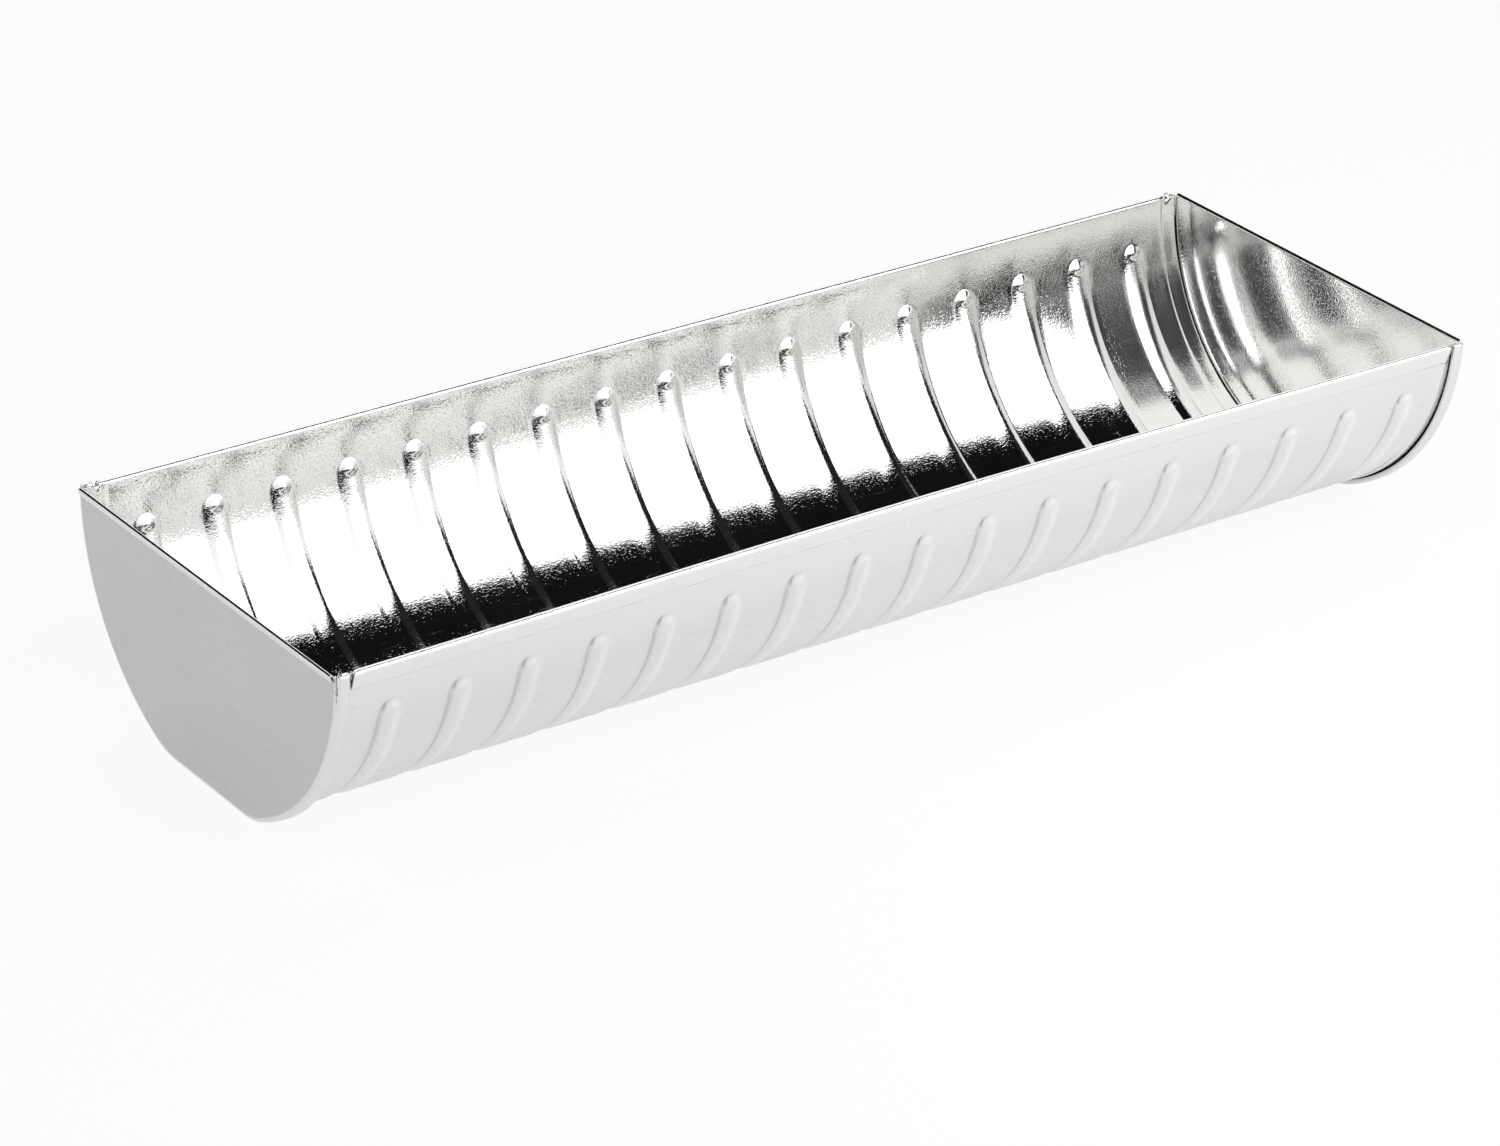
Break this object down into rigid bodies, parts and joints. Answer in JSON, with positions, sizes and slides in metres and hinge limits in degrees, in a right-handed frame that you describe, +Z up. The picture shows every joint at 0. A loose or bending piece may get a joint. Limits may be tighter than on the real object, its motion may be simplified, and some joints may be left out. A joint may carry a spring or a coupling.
{
  "type": "half-round ribbed baking tin",
  "caption": "Long half-round baking tin of bright tinplate, its trough pressed with cross ribs and closed at the ends by plates on folded seams, for baking sponge logs.",
  "frame": {"origin": "middle of the tin, on the surface that it stands on", "axes": "+X along the tin, +Y towards the straight back rim, +Z up out of the mouth"},
  "size_m": [0.352, 0.1216, 0.0575],
  "materials": {
    "trough_tinplate": "bright rolled tinplate, mirror-like with a fine grain along the sheet",
    "end_plate_tinplate": "tinplate with a softer, greyer sheen"
  },
  "bodies": {
    "root": {"trough": "trough_tinplate", "end_plate_left": "end_plate_tinplate", "end_plate_right": "end_plate_tinplate"}
  },
  "joints": []
}
